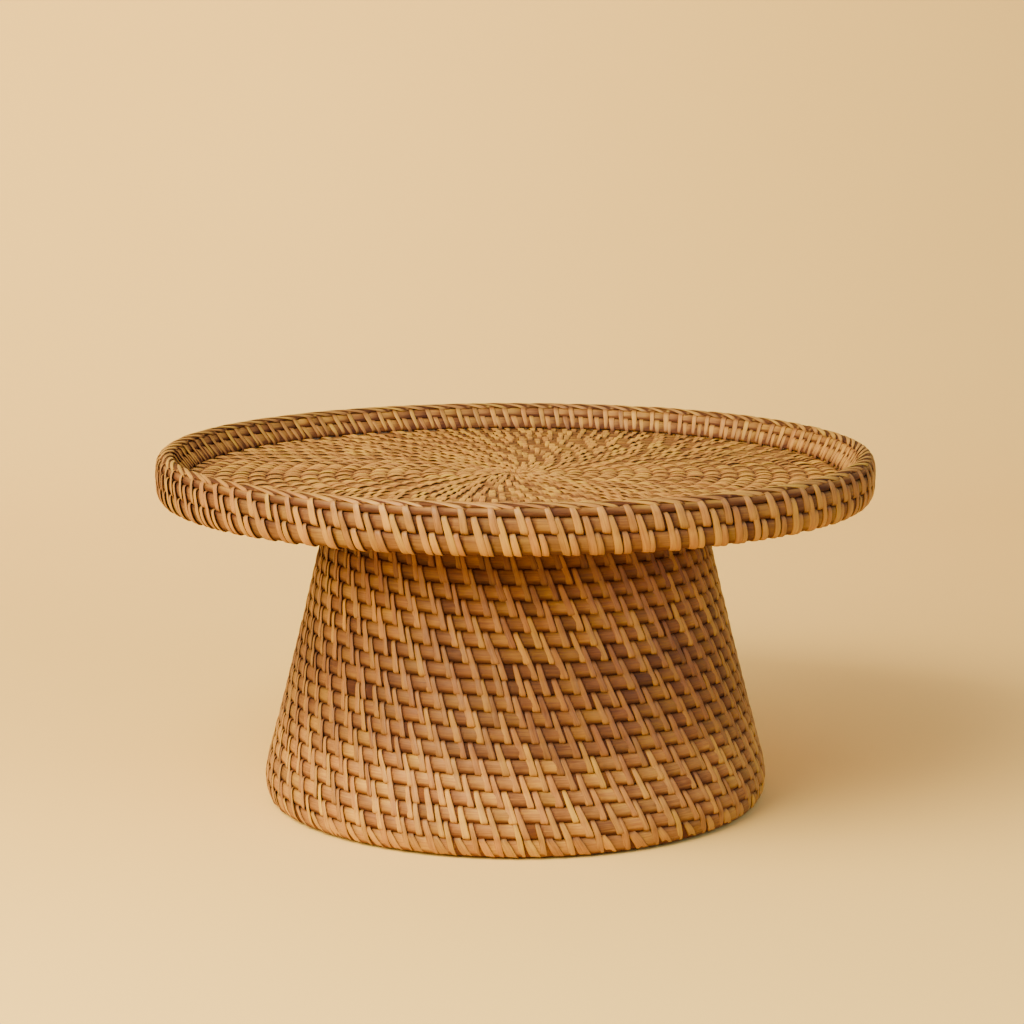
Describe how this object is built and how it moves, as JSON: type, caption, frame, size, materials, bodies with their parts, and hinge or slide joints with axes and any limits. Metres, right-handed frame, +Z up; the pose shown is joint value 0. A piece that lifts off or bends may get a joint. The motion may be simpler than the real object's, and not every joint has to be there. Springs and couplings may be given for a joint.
{
  "type": "wicker coffee table",
  "caption": "Round woven rattan coffee table: a shallow tray top with a raised rim on a hollow drum base that flares out to the floor.",
  "frame": {"origin": "on the floor, under the centre of the round top", "axes": "+Z up; the table is round, so X and Y are any two level directions, and the tray's rails run along X"},
  "size_m": [0.8, 0.8, 0.395],
  "materials": {
    "drum_weave": "honey to reddish brown rattan core hoops laced with split rattan peel, satin",
    "tray_weave": "light honey rattan core laced with split rattan peel, satin",
    "rattan_pole": "whole rattan pole, smooth skin with nodes, satin",
    "wood_slat": "plain sawn hardwood, unfinished",
    "steel": "zinc-plated wood screws"
  },
  "bodies": {
    "root": {"base_hoop_01": "drum_weave", "base_hoop_02": "drum_weave", "base_hoop_03": "drum_weave", "base_hoop_04": "drum_weave", "base_hoop_05": "drum_weave", "base_hoop_06": "drum_weave", "base_hoop_07": "drum_weave", "base_hoop_08": "drum_weave", "base_hoop_09": "drum_weave", "base_hoop_10": "drum_weave", "base_hoop_11": "drum_weave", "base_hoop_12": "drum_weave", "base_hoop_13": "drum_weave", "base_hoop_14": "drum_weave", "base_hoop_15": "drum_weave", "base_hoop_16": "drum_weave", "base_hoop_17": "drum_weave", "base_hoop_18": "drum_weave", "base_hoop_19": "drum_weave", "base_hoop_20": "drum_weave", "base_hoop_21": "drum_weave", "rim_hoop_lower": "tray_weave", "rim_hoop_middle": "tray_weave", "rim_hoop_upper": "tray_weave", "rim_hoop_crest": "tray_weave", "wall_hoop_lower": "tray_weave", "wall_hoop_upper": "tray_weave", "tabletop_coil": "tray_weave", "rim_pole": "rattan_pole", "frame_ring_bottom": "rattan_pole", "frame_ring_middle": "rattan_pole", "frame_ring_top": "rattan_pole", "frame_upright_1": "rattan_pole", "frame_upright_2": "rattan_pole", "frame_upright_3": "rattan_pole", "frame_upright_4": "rattan_pole", "frame_upright_5": "rattan_pole", "frame_upright_6": "rattan_pole", "tray_rail_front": "rattan_pole", "tray_rail_back": "rattan_pole", "tray_slat_1": "wood_slat", "tray_slat_2": "wood_slat", "tray_slat_3": "wood_slat", "tray_slat_4": "wood_slat", "tray_slat_5": "wood_slat", "frame_screw_1": "steel", "frame_screw_2": "steel", "frame_screw_3": "steel", "frame_screw_4": "steel", "frame_screw_5": "steel", "frame_screw_6": "steel", "tray_screw_1": "steel", "tray_screw_2": "steel", "tray_screw_3": "steel", "tray_screw_4": "steel"}
  },
  "joints": []
}
